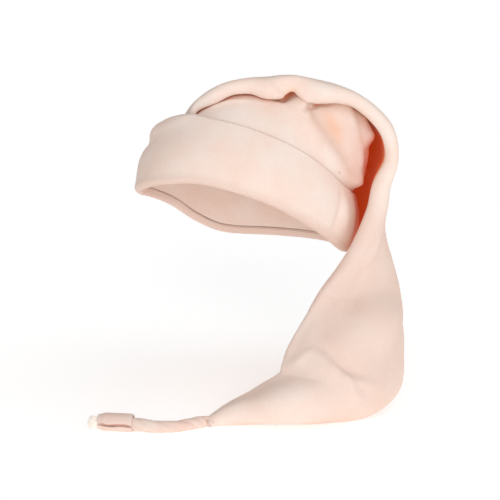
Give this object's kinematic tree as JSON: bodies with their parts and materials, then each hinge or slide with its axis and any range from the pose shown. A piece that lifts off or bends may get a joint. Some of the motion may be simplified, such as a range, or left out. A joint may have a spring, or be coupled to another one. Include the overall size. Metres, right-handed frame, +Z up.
{
  "type": "stocking cap",
  "caption": "Long velour stocking cap with a wide turned-up cuff, its bag flopped over one side to a twisted, wrapped tip.",
  "frame": {"origin": "the head's highest point, where the crown's inside rests on it", "axes": "+Z up, -Y the way the wearer faces, +X the wearer's left; the bag flops over between +X and +Y, toward the wearer's back left, and its tip comes forward round the left side"},
  "size_m": [0.2363, 0.3049, 0.2793],
  "materials": {
    "velour": "short soft pile, matt, with a pale sheen where it turns away",
    "twisted_velour": "the same cloth twisted hard, pile crushed, matt"
  },
  "bodies": {
    "root": {"crown": "velour", "cuff": "velour", "tail": "velour", "tail_tip": "twisted_velour", "end_sleeve": "twisted_velour"}
  },
  "joints": []
}
